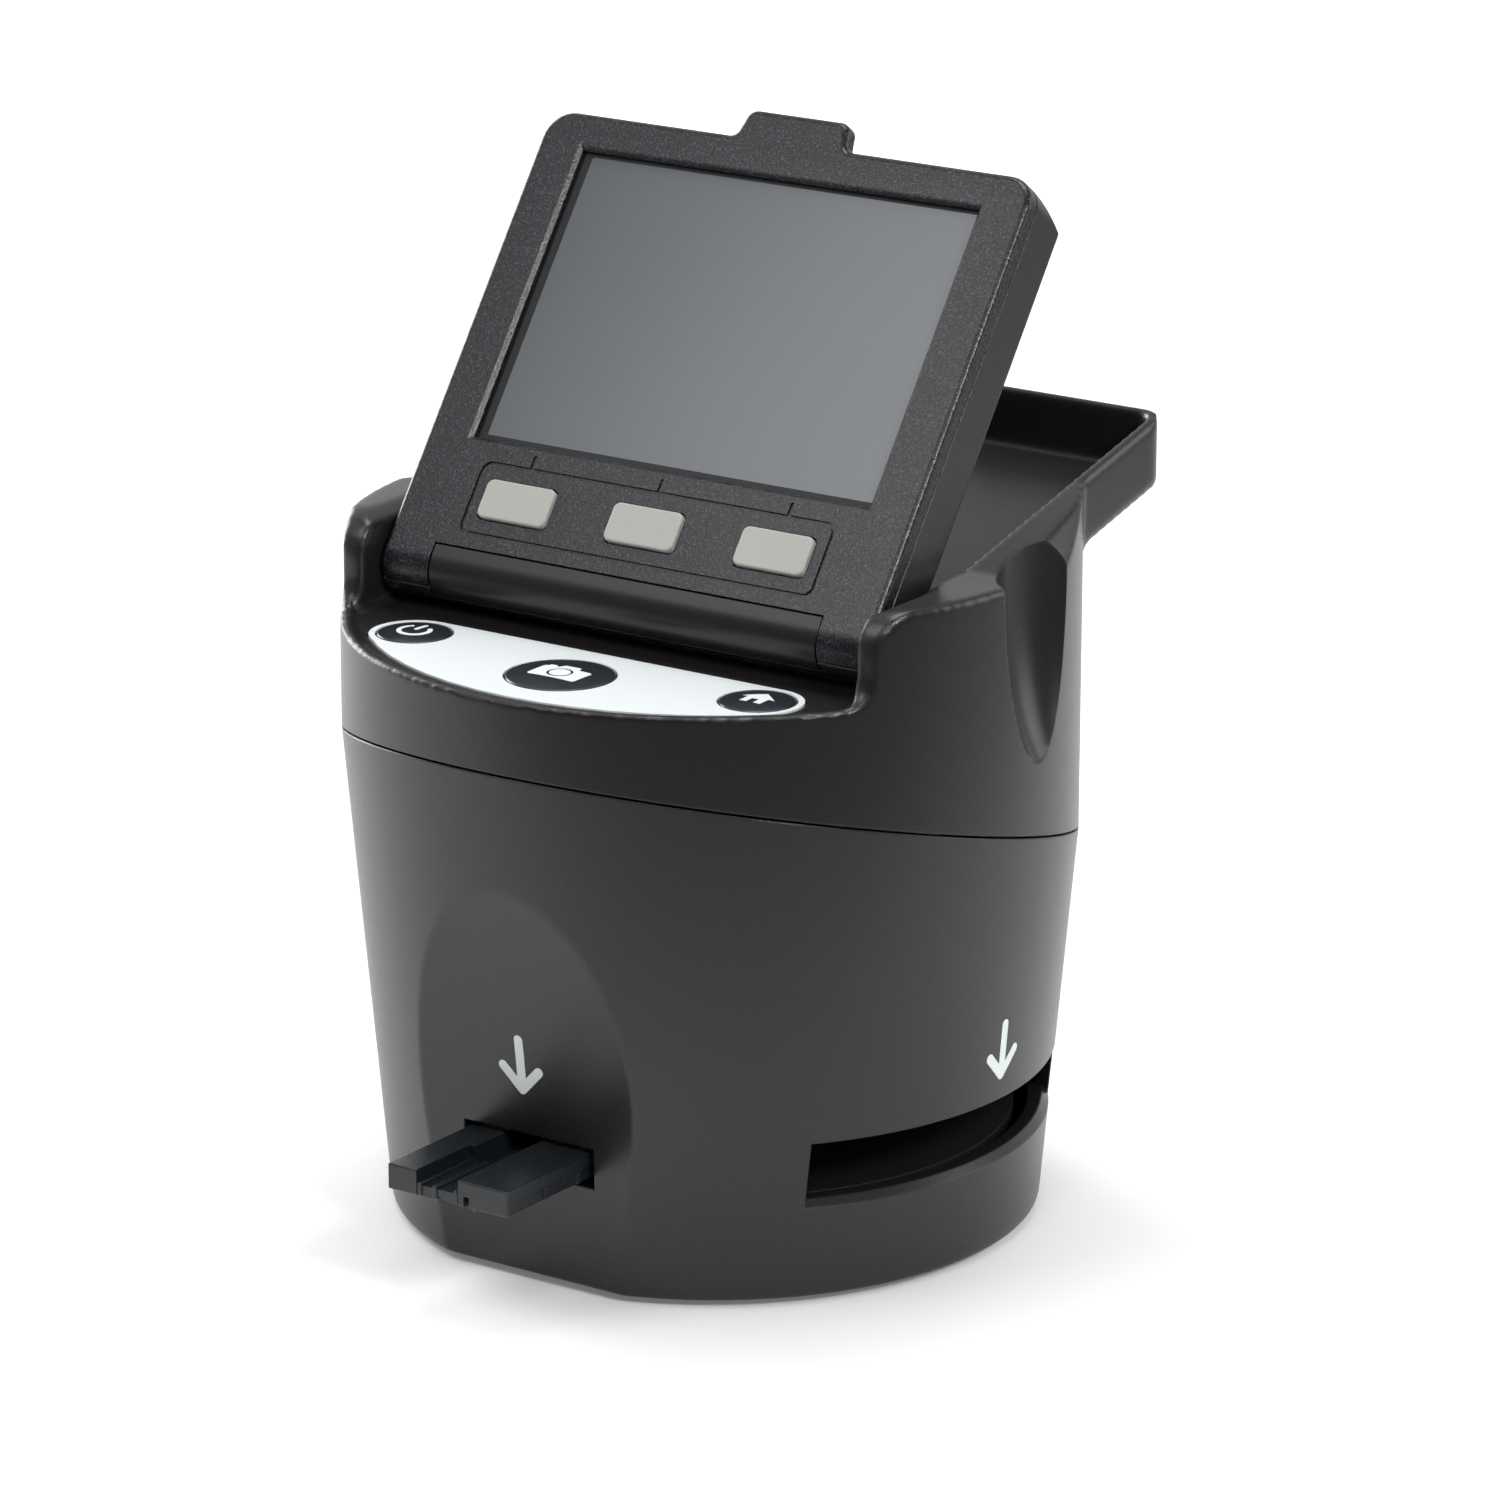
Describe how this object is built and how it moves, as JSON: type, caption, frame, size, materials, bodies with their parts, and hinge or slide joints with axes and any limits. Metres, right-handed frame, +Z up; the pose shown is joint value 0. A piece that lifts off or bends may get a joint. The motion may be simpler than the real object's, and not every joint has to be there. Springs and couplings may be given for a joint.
{
  "type": "film negative scanner",
  "caption": "Desk-top film negative scanner: a tapered round housing with a sliding film tray, a button panel and a screen that folds down into a sloping shelf.",
  "frame": {"origin": "centre of the bounding box in plan, on the surface the feet stand on", "axes": "+Z up, -Y towards the front with the buttons and the tray, +X to the right seen from the front"},
  "size_m": [0.12, 0.13, 0.178],
  "materials": {
    "housing": "semi-matte moulded charcoal",
    "bezel": "spark-textured charcoal",
    "panel_white": "satin white",
    "button_black": "satin blue-black with a white pictogram",
    "key_grey": "light warm grey, satin",
    "tray_plastic": "smooth blue-black",
    "inner_plastic": "matt black",
    "foot_rubber": "matt black",
    "screw_steel": "zinc plated",
    "spring_steel": "bright spring strip",
    "board": "green laminate",
    "switch_black": "matt black",
    "socket_steel": "nickel plated",
    "bush_polymer": "natural acetal",
    "diffuser_white": "milky white",
    "display_frame": "plain sheet",
    "screen_glass": "clear pane over a dark display",
    "lens_glass": "clear"
  },
  "bodies": {
    "base": {"lower_housing": "housing", "upper_housing": "housing", "panel_plate": "panel_white", "base_plate": "inner_plastic", "film_stage": "inner_plastic", "film_guide": "inner_plastic", "lens_tower": "inner_plastic", "lens_barrel": "inner_plastic", "foot_front_left": "foot_rubber", "foot_front_right": "foot_rubber", "foot_back_left": "foot_rubber", "foot_back_right": "foot_rubber", "base_screw_front_left": "screw_steel", "base_screw_front_right": "screw_steel", "base_screw_back_left": "screw_steel", "base_screw_back_right": "screw_steel", "hinge_pin_left": "screw_steel", "hinge_pin_right": "screw_steel", "tray_stop_spring": "spring_steel", "control_board": "board", "backlight_board": "board", "sensor_board": "board", "main_board": "board", "power_switch": "switch_black", "capture_switch": "switch_black", "home_switch": "switch_black", "usb_socket": "socket_steel", "video_socket": "socket_steel", "card_socket": "socket_steel", "diffuser": "diffuser_white", "lens_element": "lens_glass"},
    "film_tray": {"film_tray": "tray_plastic"},
    "power_button": {"power_button": "button_black"},
    "capture_button": {"capture_button": "button_black"},
    "home_button": {"home_button": "button_black"},
    "screen_key_left": {"screen_key_left": "key_grey"},
    "screen_key_middle": {"screen_key_middle": "key_grey"},
    "screen_key_right": {"screen_key_right": "key_grey"},
    "screen": {"screen_bezel": "bezel", "screen_rear_cover": "housing", "screen_glass": "screen_glass", "display_module": "display_frame", "screen_key_board": "board", "hinge_cover": "bezel", "screen_screw_1": "screw_steel", "screen_screw_2": "screw_steel", "screen_screw_3": "screw_steel", "screen_screw_4": "screw_steel", "hinge_bush_left": "bush_polymer", "hinge_bush_right": "bush_polymer"}
  },
  "joints": [
    {"name": "screen_tilt", "type": "hinge", "parent": "base", "child": "screen", "pos_m": [0, -0.01315, 0.10647], "axis": [1, 0, 0], "range_deg": [-40.2, 5]},
    {"name": "tray_slide", "type": "slide", "parent": "base", "child": "film_tray", "axis": [0, -1, 0], "range_m": [0, 0.055]},
    {"name": "power_button_press", "type": "slide", "parent": "base", "child": "power_button", "axis": [0, 0, -1], "range_m": [0, 0.0008], "stiffness_N_per_m": 900, "springref_m": -0.0004},
    {"name": "capture_button_press", "type": "slide", "parent": "base", "child": "capture_button", "axis": [0, 0, -1], "range_m": [0, 0.0008], "stiffness_N_per_m": 900, "springref_m": -0.0004},
    {"name": "home_button_press", "type": "slide", "parent": "base", "child": "home_button", "axis": [0, 0, -1], "range_m": [0, 0.0008], "stiffness_N_per_m": 900, "springref_m": -0.0004},
    {"name": "screen_key_left_press", "type": "slide", "parent": "screen", "child": "screen_key_left", "axis": [0, 0.8111, -0.585], "range_m": [0, 0.0006], "stiffness_N_per_m": 900, "springref_m": -0.0004},
    {"name": "screen_key_middle_press", "type": "slide", "parent": "screen", "child": "screen_key_middle", "axis": [0, 0.8111, -0.585], "range_m": [0, 0.0006], "stiffness_N_per_m": 900, "springref_m": -0.0004},
    {"name": "screen_key_right_press", "type": "slide", "parent": "screen", "child": "screen_key_right", "axis": [0, 0.8111, -0.585], "range_m": [0, 0.0006], "stiffness_N_per_m": 900, "springref_m": -0.0004}
  ]
}
